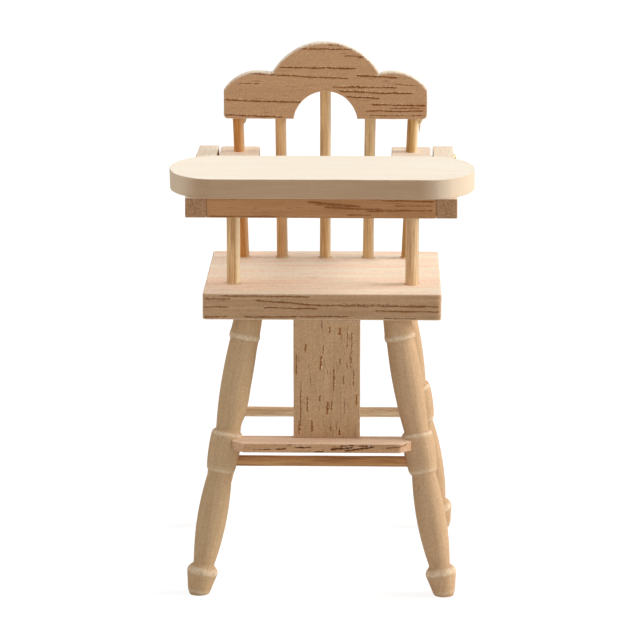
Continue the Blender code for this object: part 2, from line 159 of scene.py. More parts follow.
def make_split_streak():
    """One dark streak of torn grain along X, with a reddish stain round it and pale fibres beside it on one
    side, whose paleness is partly a painted highlight on the split's lip.
    """
    inputs = ["Vector", "From", "To", "Height", "Rise", "Width", "Breaks", "Seed"]
    tree, given, result = new_effect("split_streak", inputs, ["Split", "Stain", "Lifted And Lit"])
    place = parts_of(tree, given["Vector"])
    along = reckon(tree, "SUBTRACT", place["X"], given["From"])
    share = reckon(tree, "DIVIDE", along, reckon(tree, "SUBTRACT", given["To"], given["From"]))
    hump = times(tree, share, reckon(tree, "SUBTRACT", 1.0, share))
    taper = fade(tree, hump, 0.0, 0.04)
    line = join_parts(tree, place["X"], given["Seed"], given["Height"])
    sway = reckon(tree, "SUBTRACT", speckle(tree, line, 380, 3, 0.65), 0.5)
    centre = reckon(tree, "ADD", given["Height"], times(tree, along, given["Rise"]))
    centre = reckon(tree, "ADD", centre, times(tree, sway, streak_wander))
    offset = reckon(tree, "SUBTRACT", place["Y"], centre)
    swell = times(tree, speckle(tree, line, 1300, 3, 0.75), 2.2)
    reach = times(tree, times(tree, given["Width"], swell), taper)
    reach = reckon(tree, "MAXIMUM", reach, thinnest_streak)
    away = reckon(tree, "DIVIDE", reckon(tree, "ABSOLUTE", offset), reach)
    near = fade(tree, away, 0.35, 1.2, 1.0, 0.0)
    low = reckon(tree, "SUBTRACT", given["Breaks"], 0.13)
    high = reckon(tree, "ADD", given["Breaks"], 0.1)
    depth = fade(tree, speckle(tree, line, 950, 4, 0.8), low, high)
    beside = fade(tree, away, 0.9, 2.8, 1.0, 0.0)
    stain = fade(tree, speckle(tree, line, 420, 2), 0.3, 0.65, 0.3, 1.0)
    above = reckon(tree, "ABSOLUTE", reckon(tree, "ADD", offset, times(tree, reach, -1.5)))
    fringe = fade(tree, reckon(tree, "DIVIDE", above, reach), 0.5, 1.6, 1.0, 0.0)
    flecks = fade(tree, speckle(tree, given["Vector"], 2600, 2), 0.5, 0.6)
    fill_in(tree, result, {
        "Split": times(tree, near, depth), "Stain": times(tree, beside, stain),
        "Lifted And Lit": times(tree, fringe, flecks),
    })
    return tree


def make_sanded_and_highlit_edge():
    """The edge colour laid along the edges that the mesh marks: partly wood worn paler by sanding, partly a
    painted highlight on the rims and ring crests that catch the light.
    """
    inputs = ["Vector", "Color", "Edge Color", "Amount"]
    tree, given, result = new_effect("sanded_and_highlit_edge", inputs, ["Color"])
    patchy = fade(tree, speckle(tree, given["Vector"], 1500, 2), 0.3, 0.62, 0.35, 1.0)
    share = times(tree, times(tree, mesh_mark(tree, "edge")["Fac"], patchy), given["Amount"])
    fill_in(tree, result, {"Color": lay_over(tree, share, given["Color"], given["Edge Color"])})
    return tree


streak_wander = 0.0004
thinnest_streak = 0.000001
wood_figure = make_wood_figure()
split_streak = make_split_streak()
streak_seed_step = 0.013
sanded_and_highlit_edge = make_sanded_and_highlit_edge()


def new_finish(name):
    """An empty material, with its node tree and its shader."""
    material = bpy.data.materials.new(name)
    material.use_nodes = True
    return material, material.node_tree, material.node_tree.nodes["Principled BSDF"]


def bare_wood(
    name, bright, deep, rim, seed, side=None, end=None, lit_ends=None, flank=None,
    fineness=1.0, contrast=1.0, pores=0.4, pore_colour=(0.16, 0.07, 0.035), fuzz=0.1, edge=0.6,
    streaks=(), streaks_on="side", streak_colour=(0.17, 0.036, 0), streak_share=0.9, lifted_and_lit=0.3, fleck=None,
    stain_colour=(0.36, 0.12, 0.008), stain_share=0.55, roughness=0.66, relief=0.00005, tooling=0.0,
):
    """Bare wood with its grain along the piece's own X axis.

    Its sawn side and its end grain are each given as a bright and a deep tone. The side tones hold painted
    light as well as the wood's own colour: painted shade where they are darker than the top, a painted
    highlight on the crest's pale rim. Lit ends are a painted highlight and a flank a painted band of light
    and shade, with the limits between which each takes over. A streak is given by where it starts and ends
    along the grain and its height, in millimetres, its rise, its width in millimetres, and its gaps.
    """
    material, tree, shader = new_finish(name)
    grain = mesh_mark(tree, "grain")["Vector"]
    figure = use_effect(tree, wood_figure, {"Vector": grain, "Fineness": fineness, "Seed": seed})
    facing = parts_of(tree, mesh_mark(tree, "facing")["Vector"])
    on_face = fade(tree, reckon(tree, "ABSOLUTE", facing["Z"]), 0.55, 0.85)
    bands = fade(tree, figure["Bands"], 0.5 - 0.22 / contrast, 0.5 + 0.22 / contrast)
    fibres = fade(tree, figure["Fibres"], 0.5 - 0.3 / contrast, 0.5 + 0.3 / contrast)
    tone = reckon(tree, "ADD", times(tree, bands, 0.4), times(tree, fibres, 0.6))
    colour = lay_over(tree, tone, deep, bright)
    # A flank: a painted band of light and shade down one side of the piece.
    if flank:
        across, near, far, painted_tone = flank
        place = lay_node(tree, "ShaderNodeVectorMath", {0: grain, 1: across}, operation="DOT_PRODUCT")
        colour = lay_over(tree, fade(tree, place.outputs["Value"], near, far, 0.0, 0.85), colour, painted_tone)
    # The side tone is partly the wood's own colour and partly painted light: painted shade on edges darker
    # than the top, a painted highlight on the crest's pale rim.
    if side:
        sawn = lay_over(tree, tone, side[1], side[0])
        # Lit ends: a painted highlight on the sawn side towards both ends.
        if lit_ends:
            left, right, painted_tone = lit_ends
            place = parts_of(tree, grain)["X"]
            share = reckon(tree, "MAXIMUM", fade(tree, place, *left, 0.85, 0.0), fade(tree, place, *right))
            sawn = lay_over(tree, share, sawn, painted_tone)
        colour = lay_over(tree, on_face, sawn, colour)
    if end:
        on_end = fade(tree, reckon(tree, "ABSOLUTE", facing["X"]), 0.6, 0.85)
        tone = fade(tree, speckle(tree, grain, 2600 * fineness, 3, 0.7), 0.35, 0.65)
        colour = lay_over(tree, on_end, colour, lay_over(tree, tone, end[1], end[0]))
    colour = lay_over(tree, times(tree, figure["Pores"], pores), colour, pore_colour)
    height = reckon(tree, "ADD", times(tree, figure["Fibres"], 0.5), times(tree, figure["Fuzz"], 0.5))
    height = reckon(tree, "ADD", height, times(tree, figure["Tooling"], tooling * 4))
    if streaks:
        spread, shown = grain, on_face
        if streaks_on == "side":
            parts = parts_of(tree, grain)
            spread = join_parts(tree, parts["X"], parts["Z"], parts["Y"])
            shown = reckon(tree, "SUBTRACT", 1.0, on_face)
        laid = {"Split": 0.0, "Stain": 0.0, "Lifted And Lit": 0.0}
        for count, (start, stop, level, rise, width, gaps) in enumerate(streaks):
            settings = {"Vector": spread, "From": start / 1000, "To": stop / 1000, "Height": level / 1000}
            settings |= {"Rise": rise, "Width": width / 1000, "Breaks": gaps}
            mark = use_effect(tree, split_streak, settings | {"Seed": seed + streak_seed_step * count})
            for part in laid:
                laid[part] = reckon(tree, "MAXIMUM", laid[part], mark[part])
        marks = times(tree, laid["Split"], shown)
        raised = times(tree, laid["Lifted And Lit"], times(tree, shown, lifted_and_lit))
        stain = times(tree, laid["Stain"], times(tree, shown, stain_share))
        colour = lay_over(tree, stain, colour, stain_colour)
        colour = lay_over(tree, times(tree, marks, streak_share), colour, streak_colour)
        # Pale fibres beside each split: partly torn wood raised in relief, partly a painted highlight on the
        # split's lip.
        colour = lay_over(tree, raised, colour, fleck or rim)
        height = reckon(tree, "SUBTRACT", height, times(tree, marks, 1.2))
        height = reckon(tree, "ADD", height, raised)
    shade = fade(tree, figure["Fuzz"], 0.3, 0.7, 1 - fuzz, 1 + fuzz)
    shade = times(tree, shade, fade(tree, figure["Tooling"], 0.35, 0.65, 1 - tooling, 1 + tooling))
    shaded = {0: 1.0, 6: colour, 7: join_parts(tree, shade, shade, shade)}
    colour = lay_node(tree, "ShaderNodeMix", shaded, data_type="RGBA", blend_type="MULTIPLY").outputs[2]
    settings = {"Vector": grain, "Color": colour, "Edge Color": rim, "Amount": edge}
    fill_in(tree, shader, {
        "Base Color": use_effect(tree, sanded_and_highlit_edge, settings)["Color"],
        "Roughness": fade(tree, figure["Fibres"], 0.3, 0.7, roughness + 0.08, roughness - 0.08),
        "Specular IOR Level": 0.05, "Normal": bumps(tree, height, relief, 0.8),
    })
    return material


def spaced(start, end, spacing=0.0005):
    """Closely spaced points from one point to just before another."""
    count = max(1, int((end - start).length / spacing))
    return [start.lerp(end, step / count) for step in range(count)]


def dense_board(width, depth, corner):
    """A rectangle with rounded corners as closely spaced points, anticlockwise."""
    x, y = width / 2 - corner, depth / 2 - corner
    bends = []
    for middle, start in (((x, -y), -90), ((x, y), 0), ((-x, y), 90), ((-x, -y), 180)):
        angles = [math.radians(start + 90 * step / 4) for step in range(5)]
        ways = [Vector((math.cos(angle), math.sin(angle))) for angle in angles]
        bends.append([Vector(middle) + corner * way for way in ways])
    points = []
    for bend, following in zip(bends, bends[1:] + bends[:1]):
        points += bend + spaced(bend[-1], following[0])[1:]
    return points


def skinned_mesh(name, rings, closed=False):
    """A smooth skin over rings of points with edge marks, capped at both ends unless it closes on itself."""
    form = bmesh.new()
    marks = form.verts.layers.float.new("edge")
    laid = []
    for ring in rings:
        laid.append([form.verts.new(point) for point, mark in ring])
        for vertex, (point, mark) in zip(laid[-1], ring):
            vertex[marks] = mark
    for low, high in zip(laid, laid[1:] + laid[:1] if closed else laid[1:]):
        for index in range(len(low)):
            follow = (index + 1) % len(low)
            form.faces.new((low[index], low[follow], high[follow], high[index]))
    if not closed:
        form.faces.new(laid[0][::-1])
        form.faces.new(laid[-1])
    bmesh.ops.recalc_face_normals(form, faces=form.faces)
    mesh = bpy.data.meshes.new(name)
    form.to_mesh(mesh)
    form.free()
    mesh.shade_smooth()
    return mesh


def show_piece(name, mesh, material, matrix):
    """A piece of the chair, with its grain laid along the mesh's own X axis before it is put in its place."""
    grain = mesh.attributes.new("grain", "FLOAT_VECTOR", "POINT")
    grain.data.foreach_set("vector", [number for vertex in mesh.vertices for number in vertex.co])
    facing = mesh.attributes.new("facing", "FLOAT_VECTOR", "FACE")
    facing.data.foreach_set("vector", [number for face in mesh.polygons for number in face.normal])
    mesh.transform(matrix)
    mesh.materials.append(material)
    piece = bpy.data.objects.new(name, mesh)
    bpy.context.scene.collection.objects.link(piece)
    return piece


def sawn_board(name, outline, thickness, material, matrix, ease, sway, seed, lit_way=None):
    """A board sawn to an outline: sanded round its rims, slightly uneven from the saw, marked on its edges.

    With a lit direction, the edges that face that way are rounded wider, and only they are marked, which
    paints a highlight along them.
    """
    half = thickness / 2
    levels = [(-half, ease * 1.4, 0.0)]
    for step in range(4):
        angle = math.pi / 2 * step / 3
        rise = ease * (1 - math.cos(angle))
        levels.append((-half + rise, ease * (1 - math.sin(angle)), math.sin(2 * angle) + 0.3))
    levels.append((-half + ease * 1.8, 0, 0.0))
    levels += [(-height, inset, mark) for height, inset, mark in reversed(levels)]
    inward = []
    for index, point in enumerate(outline):
        before = (point - outline[index - 1]).normalized()
        after = (outline[(index + 1) % len(outline)] - point).normalized()
        both = Vector((-before.y - after.y, before.x + after.x))
        inward.append(both / (1 + before.dot(after)))
    rings = []
    for height, inset, mark in levels:
        ring = []
        for point, way in zip(outline, inward):
            share = 1 if lit_way is None else max(0, -way.normalized().dot(lit_way))
            where = Vector((point.x * 260, point.y * 260, height * 420 + seed * 7))
            lean = sway * noise.noise(where) + sway * 0.5 * noise.noise(where * 3.1)
            spot = point + way * (inset * (1 if lit_way is None else 1 + share) + max(0, sway * 0.6 + lean))
            ring.append(((spot.x, spot.y, height), mark * share))
        rings.append(ring)
    mesh = skinned_mesh(name, rings)
    for cap in mesh.polygons[-2:]:
        cap.use_smooth = False
    return show_piece(name, mesh, material, matrix)


seat_low, seat_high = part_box("seat")
seat_size = seat_high - seat_low
seat_middle = (seat_low + seat_high) / 2
seat_top = seat_high.z
seat_streaks = [
    (-18.5, -2, 2.05, -0.008, 0.11, 0.4), (-21.4, -16.5, 1.5, -0.01, 0.11, 0.42),
    (-12.2, 0.2, 1.25, -0.08, 0.12, 0.38), (-0.8, 21.6, 0.32, -0.008, 0.14, 0.44),
    (3, 12.5, 0.58, -0.01, 0.09, 0.5), (-10.7, -0.5, -0.12, -0.018, 0.11, 0.42),
    (-21.6, -16.8, -0.1, 0.012, 0.1, 0.45), (9.5, 21.5, -0.68, -0.01, 0.11, 0.44),
    (-14.5, 5.2, -1.92, 0.01, 0.11, 0.4), (-21.4, -17.2, -1.88, 0.008, 0.11, 0.44),
    (11.2, 17.2, -2.08, 0, 0.09, 0.46),
]
seat_finish = bare_wood(
    "seat_wood", (0.937, 0.846, 0.683), (0.937, 0.65, 0.488), (0.74, 0.56, 0.38), 0.11,
    side=((0.533, 0.336, 0.191), (0.409, 0.243, 0.128)), end=((0.57, 0.39, 0.25), (0.47, 0.31, 0.19)),
    streaks=seat_streaks, streak_colour=(0.15, 0.044, 0.01), streak_share=0.78,
    stain_colour=(0.31, 0.125, 0.035), fineness=0.6, contrast=2.0, pores=0.3,
)
seat = sawn_board(
    "seat_board", dense_board(seat_size.x, seat_size.y, corner=0.0008), seat_size.z, seat_finish,
    Matrix.Translation(seat_middle), ease=0.00022, sway=0.00005, seed=1,
)
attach(seat, "chair")
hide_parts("seat")

# Four turned legs: pale wood turned on a lathe, with a flared foot, a ringed barrel, two vases and a collar.
# They splay outwards, and their tops are glued into holes under the seat.
leg_foot = Vector((0.0227, 0.0218))
leg_top = Vector((0.0135, 0.0147))
leg_socket = 0.00175
sole_edge, sole_radius, sole_round = 0.0015, 0.00205, 0.0005
foot_length, foot_rim, foot_radius = 0.0057, 0.0043, 0.00286
ankle_radius = 0.00193
lower_vase, lower_belly, lower_neck = 0.0171, 0.00272, 0.0022
barrel_length, barrel_shoulder, barrel_cove = 0.0082, 0.0012, 0.0007
barrel_foot, barrel_belly, barrel_top = 0.0027, 0.00293, 0.00285
upper_vase, upper_neck, upper_belly, upper_top = 0.0167, 0.00222, 0.00278, 0.00256
collar_bead, bead_foot, bead_belly, bead_top = 0.0011, 0.00272, 0.00285, 0.00282
tenon_radius = 0.0025
nick = 0.0001


def belly(start, end, low, middle, high, steps):
    """Points of a turned swelling between two necks, after the first neck."""
    rise = middle - (low + high) / 2
    shares = [step / steps for step in range(1, steps + 1)]
    radii = [low + (high - low) * share + rise * 4 * share * (1 - share) for share in shares]
    return [(radius, start + (end - start) * share) for radius, share in zip(radii, shares)]


def leg_profile(length):
    """The turned outline as (radius, height along the axis), from the sole up."""
    barrel = foot_length + lower_vase
    shoulder = barrel + barrel_shoulder
    barrel_end = barrel + barrel_length
    ring = barrel_end - barrel_cove
    collar = barrel_end + upper_vase
    bead = collar + 2 * nick
    bead_end = collar + collar_bead
    return [
        (sole_edge, -sole_round), (sole_radius, sole_round), (foot_radius, foot_rim - 2 * nick),
        (foot_radius, foot_rim + nick), (foot_radius - 2.6 * nick, foot_rim + 6 * nick),
        (ankle_radius + 0.7 * nick, foot_length - 2 * nick), (ankle_radius, foot_length),
        *belly(foot_length, barrel, ankle_radius, lower_belly, lower_neck, 16),
        (lower_neck + 0.8 * nick, barrel + nick), (barrel_foot - nick, barrel + 6 * nick),
        (barrel_foot, shoulder), *belly(shoulder, ring, barrel_foot, barrel_belly, barrel_top, 8),
        (barrel_top - 2.3 * nick, ring + 3 * nick), (upper_neck + 0.8 * nick, ring + 5 * nick),
        (lower_neck, barrel_end), *belly(barrel_end, collar, upper_neck, upper_belly, upper_top, 16),
        (upper_top, collar + nick), (bead_foot, bead),
        *belly(bead, bead_end, bead_foot, bead_belly, bead_top, 4),
        (bead_top - 1.2 * nick, bead_end + 6 * nick), (tenon_radius, length - 4 * nick),
        (tenon_radius, length + leg_socket),
    ]


full_bulge = 0.00006


def along(start, end):
    """The place and turn that lay a piece's X axis from one point towards another."""
    turn = (end - start).to_track_quat("X", "Z").to_matrix().to_4x4()
    return Matrix.Translation(start) @ turn


def turned_piece(
    name, profile, material, matrix, sides, seed, unevenness=0.00003, spacing=0.00018, soften=True,
):
    """A turning about its X axis from (radius, place) points, with soft arrises, and with its ring crests
    marked for the edge colour, partly a painted highlight.
    """
    fine = []
    for (low, start), (high, end) in zip(profile, profile[1:]):
        count = max(1, int(math.hypot(high - low, end - start) / spacing))
        shares = [step / count for step in range(count)]
        fine += [(low + (high - low) * share, start + (end - start) * share) for share in shares]
    fine.append(profile[-1])
    radii, places = zip(*fine)
    if soften:
        softer = [(low + 2 * middle + high) / 4 for low, middle, high in zip(radii, radii[1:], radii[2:])]
        radii = [radii[0], *softer, radii[-1]]
    rings = []
    for index, (radius, place) in enumerate(zip(radii, places)):
        near = radii[max(0, index - 3):index + 4]
        bulge = (radius - sum(near) / len(near)) / full_bulge
        ring = []
        for side in range(sides):
            angle = 2 * math.pi * side / sides
            where = Vector((place * 160, math.cos(angle) * 0.8 + seed * 3.7, math.sin(angle) * 0.8))
            reach = radius - unevenness * max(0, 0.5 + noise.noise(where))
            spot = (place, reach * math.cos(angle), reach * math.sin(angle))
            ring.append((spot, min(1, max(0, bulge))))
        rings.append(ring)
    mesh = skinned_mesh(name, rings)
    mesh.set_sharp_from_angle(angle=math.radians(60))
    return show_piece(name, mesh, material, matrix)


def flatten_on_floor(piece):
    """Planes off what would reach below the floor."""
    form = bmesh.new()
    form.from_mesh(piece.data)
    everything = form.verts[:] + form.edges[:] + form.faces[:]
    cut = bmesh.ops.bisect_plane(
        form, geom=everything, plane_co=(0, 0, 0), plane_no=(0, 0, -1), clear_outer=True
    )
    rim = [item for item in cut["geom_cut"] if isinstance(item, bmesh.types.BMEdge)]
    bmesh.ops.holes_fill(form, edges=rim, sides=0)
    form.to_mesh(piece.data)
    form.free()


# The pale rim colours go on the crests of the legs' rings: partly worn wood, partly a painted highlight.
leg_woods = {
    -1: ("leg_wood_left", (0.558, 0.381, 0.219), (0.45, 0.293, 0.157), (0.83, 0.68, 0.5), 0.23),
    1: ("leg_wood_right", (0.586, 0.386, 0.226), (0.468, 0.292, 0.159), (0.85, 0.7, 0.51), 0.37),
}
leg_finishes = {
    side: bare_wood(*wood, contrast=1.1, pores=0.2, fuzz=0.14, roughness=0.7, tooling=0.015)
    for side, wood in leg_woods.items()
}
legs = {
    "front_leg_left": (-1, -1), "front_leg_right": (1, -1),
    "rear_leg_left": (-1, 1), "rear_leg_right": (1, 1),
}
leg_lines = {}
for count, (node, (side, face)) in enumerate(legs.items()):
    foot = Vector((side * leg_foot.x, face * leg_foot.y + seat_middle.y, 0))
    top = Vector((side * leg_top.x, face * leg_top.y + seat_middle.y, seat_low.z))
    leg_lines[side, face] = (foot, top)
    leg = turned_piece(
        node + "_turning", leg_profile((top - foot).length), leg_finishes[side], along(foot, top),
        sides=64, seed=count + 1,
    )
    flatten_on_floor(leg)
    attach(leg, "chair")
    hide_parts(node)

# Stretchers: four thin dowels that tie the legs together.
# They are cut from split golden rod, and their ends are glued into holes in the legs' barrels.
stretcher_radius = 0.001
stretcher_inset = 0.0014


def barrel_point(key, share):
    """A point on a leg's axis, at a share of the barrel's length."""
    foot, top = leg_lines[key]
    reach = foot_length + lower_vase + barrel_length * share
    return foot + (top - foot).normalized() * reach


def show_rod(node, radius, start, end, material, seed):
    """A split and drawn rod between two points, not quite round, with its ends nipped off."""
    nip = radius * 0.12
    length = (end - start).length
    profile = [(radius - nip, 0), (radius, nip), (radius, length - nip), (radius - nip, length)]
    return turned_piece(
        node + "_rod", profile, material, along(start, end), sides=40, seed=seed,
        unevenness=0.00004, spacing=0.0006, soften=False,
    )


def rod_wood(name, bright, deep, seed, roughness=0.5, flank=None):
    """Golden split rod with straight lengthwise fibres, and perhaps with a painted band of light and shade
    along one flank.
    """
    return bare_wood(
        name, bright, deep, bright, seed, fineness=1.8, contrast=2.4, fuzz=0.05, edge=0.0,
        pore_colour=(0.24, 0.11, 0.045), roughness=roughness, relief=0.00003, flank=flank,
    )


def right_flank(start, end, near, far, colour):
    """A painted band of light and shade on a rod's right side, which takes over between two distances from
    the rod's axis.
    """
    across = along(start, end).to_3x3().transposed() @ Vector((1, 0, 0))
    return (0, across.y, across.z), near, far, colour


front_wood = rod_wood("front_stretcher_wood", (0.554, 0.305, 0.135), (0.364, 0.175, 0.068), 0.41)
rear_wood = rod_wood("rear_stretcher_wood", (0.87, 0.66, 0.44), (0.58, 0.38, 0.21), 0.43)
side_wood = rod_wood("side_stretcher_wood", (0.6, 0.42, 0.24), (0.46, 0.3, 0.16), 0.47)
stretchers = {
    "front_stretcher": ((-1, -1), (1, -1), 0.28, front_wood),
    "rear_stretcher": ((-1, 1), (1, 1), 0.222, rear_wood),
    "side_stretcher_left": ((-1, -1), (-1, 1), 0.62, side_wood),
    "side_stretcher_right": ((1, -1), (1, 1), 0.62, side_wood),
}
for count, (node, (start_key, end_key, share, finish)) in enumerate(stretchers.items()):
    start = barrel_point(start_key, share)
    end = barrel_point(end_key, share)
    way = (end - start).normalized()
    start += way * stretcher_inset
    end -= way * stretcher_inset
    stretcher = show_rod(node, stretcher_radius, start, end, finish, seed=count + 11)
    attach(stretcher, "chair")
    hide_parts(node)

# Footrest: a thin pinkish board with clipped front corners, split dark along the middle of its front edge.
# It is notched round the front legs and glued to them.
footrest_low, footrest_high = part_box("footrest")
footrest_clip = 0.0021
footrest_streaks = [
    (-8.4, -6.4, -0.15, 0.05, 0.11, 0.36), (-6.2, -5.4, 0.66, 0.05, 0.09, 0.4),
    (-4.9, -1.8, 0.12, 0.04, 0.12, 0.36), (-1.2, 0.4, -0.6, 0.05, 0.1, 0.4),
    (1.6, 5.7, -0.14, 0.07, 0.19, 0.32), (3.4, 5.9, 0.42, 0.05, 0.11, 0.36),
    (4.1, 9.8, -0.48, 0.15, 0.14, 0.36), (6.8, 9.2, 0.46, 0.03, 0.11, 0.4),
    (11.8, 15.6, 0.1, 0.12, 0.08, 0.42), (-12.5, -9, -0.3, 0.02, 0.06, 0.46),
]


def clipped_outline(low, high, clip):
    """A board's outline with its two front corners cut off, as closely spaced points about its middle."""
    x, y = ((high - low) / 2).xy
    corners = [(clip - x, -y), (x - clip, -y), (x, clip - y), (x, y), (-x, y), (-x, clip - y)]
    points = []
    for start, end in zip(corners, corners[1:] + corners[:1]):
        points += spaced(Vector(start), Vector(end))
    return points


footrest_finish = bare_wood(
    "footrest_wood", (0.868, 0.662, 0.479), (0.752, 0.493, 0.328), (0.76, 0.56, 0.41), 0.53,
    side=((0.582, 0.34, 0.185), (0.441, 0.243, 0.123)), end=((0.86, 0.6, 0.43), (0.6, 0.36, 0.23)),
    streaks=footrest_streaks, streak_colour=(0.065, 0.012, 0), streak_share=0.95,
    fleck=(0.78, 0.55, 0.39), lifted_and_lit=0.7, fuzz=0.15, edge=0.8, contrast=1.4, relief=0.00008,
)
footrest = sawn_board(
    "footrest_board", clipped_outline(footrest_low, footrest_high, footrest_clip),
    footrest_high.z - footrest_low.z, footrest_finish, Matrix.Translation((footrest_low + footrest_high) / 2),
    ease=0.00008, sway=0.00006, seed=3,
)
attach(footrest, "chair")
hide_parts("footrest")

# Leg panel: a thin upright board with short dark pores along its upright grain.
# It is glued between the underside of the seat and the back edge of the footrest.
panel_low, panel_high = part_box("leg_panel")
panel_size = panel_high - panel_low
panel_pores = [
    (0.8, 4.8, -5.5, 0, 0.09, 0.42), (-9.9, -0.3, -4.8, 0.01, 0.07, 0.46), (5, 6.6, -3.9, 0.06, 0.09, 0.36),
    (4.8, 6.4, -0.7, 0.06, 0.08, 0.36), (1.8, 4.4, -1.1, 0.05, 0.1, 0.4), (-2.2, 2, 1.3, 0, 0.1, 0.42),
    (8.3, 9.7, 2.4, 0, 0.16, 0.36), (8.6, 9.9, 0.6, 0, 0.11, 0.42), (2, 8.9, 4.4, 0.02, 0.07, 0.48),
    (-1.2, 2, 4.9, 0.01, 0.07, 0.44), (-1, 0.6, 3.1, 0, 0.09, 0.38), (-6.1, -3.3, -3.5, 0.01, 0.09, 0.42),
    (-4.1, -3.1, -1.3, 0, 0.1, 0.36), (-6.6, -4.2, 0.1, 0.05, 0.16, 0.42), (-6, -4, 0.9, 0.02, 0.1, 0.46),
    (-10, -7.7, -2.7, 0.02, 0.1, 0.42), (-10.4, -7.8, -5, 0, 0.08, 0.44), (-9.8, -8.8, 0.8, 0, 0.08, 0.38),
    (-10.5, -9.2, 2.4, 0.04, 0.09, 0.38), (-5, -2.8, 5.5, 0, 0.08, 0.44), (2.8, 4, 2.4, 0, 0.07, 0.4),
    (6, 10, 3.8, 0.01, 0.07, 0.5),
]
panel_finish = bare_wood(
    "panel_wood", (0.579, 0.368, 0.207), (0.463, 0.279, 0.146), (0.66, 0.47, 0.31), 0.61,
    side=((0.64, 0.45, 0.29), (0.52, 0.35, 0.21)), streaks=panel_pores, streaks_on="face",
    streak_colour=(0.17, 0.04, 0), stain_share=0.7, streak_share=0.8, lifted_and_lit=0.85,
    fleck=(0.82, 0.6, 0.4), pores=0.7, fuzz=0.19, relief=0.00009,
)
panel_glue = 0.0002
upright_turn = Matrix(((0, 1, 0, 0), (0, 0, 1, 0), (1, 0, 0, 0), (0, 0, 0, 1)))
panel = sawn_board(
    "leg_panel_board", dense_board(panel_size.z + panel_glue, panel_size.x, corner=0.0002), panel_size.y,
    panel_finish, Matrix.Translation((panel_low + panel_high) / 2) @ upright_turn,
    ease=0.00012, sway=0.00003, seed=4,
)
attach(panel, "chair")
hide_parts("leg_panel")

# Front posts: two short lengths of thicker golden rod; the left one is paler down its right side, a painted
# highlight, and the right one browner there, painted shade.
# They stand in holes in the seat and hold up the armrests.
post_woods = {
    "left": ((0.86, 0.58, 0.31), (0.52, 0.29, 0.13), 0.67, (0.0003, 0.0008, (0.97, 0.8, 0.52))),
    "right": ((0.94, 0.71, 0.43), (0.58, 0.35, 0.18), 0.71, (0.0006, 0.0011, (0.56, 0.4, 0.24))),
}
for count, (label, (bright, deep, seed, flank)) in enumerate(post_woods.items()):
    node = "front_post_" + label
    low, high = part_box(node)
    radius = (high.x - low.x) / 2
    start = Vector((low.x + radius, (low.y + high.y) / 2, low.z))
    end = Vector((start.x, start.y, high.z))
    finish = rod_wood("post_wood_" + label, bright, deep, seed, 0.42, right_flank(start, end, *flank))
    post = show_rod(node, radius, start, end, finish, seed=count + 21)
    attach(post, "chair")
    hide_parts(node)

# Back spindles: five thin golden rods that lean back and fan out, with painted light and shade down their
# right side.
# The outer two run through the armrests, and the middle one ends high in the crest's arch.
crest_rise = 0.0266
back_lean = math.radians(3.5)
spindle_radius = 0.00105
spindle_y = 0.0131
spindle_low_socket = 0.0014
spindle_top_socket = 0.002
outer_foot, outer_top = 0.01555, 0.0166
inner_foot, inner_top = 0.0082, 0.0085
arch_rise = 0.00525
spindles = {
    "outer_left": (-outer_foot, -outer_top, (0.736, 0.347, 0.118), (0.498, 0.21, 0.06), (0.68, 0.42, 0.23)),
    "inner_left": (-inner_foot, -inner_top, (0.893, 0.561, 0.284), (0.546, 0.302, 0.135), (0.56, 0.39, 0.23)),
    "centre": (0, 0, (0.9, 0.592, 0.299), (0.539, 0.328, 0.148), (0.8, 0.62, 0.4)),
    "inner_right": (inner_foot, inner_top, (0.829, 0.584, 0.309), (0.499, 0.309, 0.14), (0.64, 0.48, 0.3)),
    "outer_right": (outer_foot, outer_top, (0.68, 0.42, 0.17), (0.42, 0.22, 0.075), (0.74, 0.56, 0.33)),
}
rod_feet = {}
for count, (label, (foot_x, top_x, bright, deep, pale)) in enumerate(spindles.items()):
    node = "spindle_" + label
    extra = arch_rise if label == "centre" else 0
    foot = Vector((foot_x, spindle_y + seat_middle.y, seat_top))
    rise = Vector((top_x - foot_x, crest_rise * math.tan(back_lean), crest_rise))
    way = rise.normalized()
    top = foot + rise * (1 + extra / crest_rise) + way * spindle_top_socket
    start = foot - way * spindle_low_socket
    flank = right_flank(start, top, 0.0002, 0.0008, pale)
    finish = rod_wood(node + "_wood", bright, deep, 0.73 + 0.017 * count, 0.45, flank)
    spindle = show_rod(node, spindle_radius, start, top, finish, seed=count + 31)
    rod_feet[node] = (foot, spindle_radius)
    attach(spindle, "chair")
    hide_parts(node)

# Raised fibres: a low ragged ring round each post and spindle, where it enters the seat.
# The drill raised them out of the seat's wood, and they are coloured darker than the seat top round each
# rod's foot.
ring_width = 0.0004
ring_height = 0.00022
ring_sides = 40
ring_seed_step = 1.7
ring_finish = bare_wood(
    "raised_fibres", (0.76, 0.56, 0.37), (0.62, 0.42, 0.25), (0.8, 0.62, 0.44), 0.86,
    fineness=1.6, pores=0.2, fuzz=0.2,
)


def fibre_ring_mesh(name, inner, seed):
    """A low ragged ring standing on the seat, round a rod."""
    rings = []
    for reach, height in ((0, -0.5), (0, 0.9), (0.3, 1.0), (0.65, 0.55), (1.0, 0.0), (1.0, -0.5)):
        ring = []
        for side in range(ring_sides):
            angle = 2 * math.pi * side / ring_sides
            where = Vector((3 * math.cos(angle) + seed, 3 * math.sin(angle), seed))
            ragged = max(0.3, 0.75 + 0.9 * noise.noise(where))
            radius = inner + ring_width * reach * ragged if reach else inner * 0.9
            level = ring_height * height * (ragged if height > 0 else 1)
            spot = (radius * math.cos(angle), radius * math.sin(angle), level)
            ring.append((spot, 0.5 if height > 0 else 0))
        rings.append(ring)
    return skinned_mesh(name, rings, closed=True)


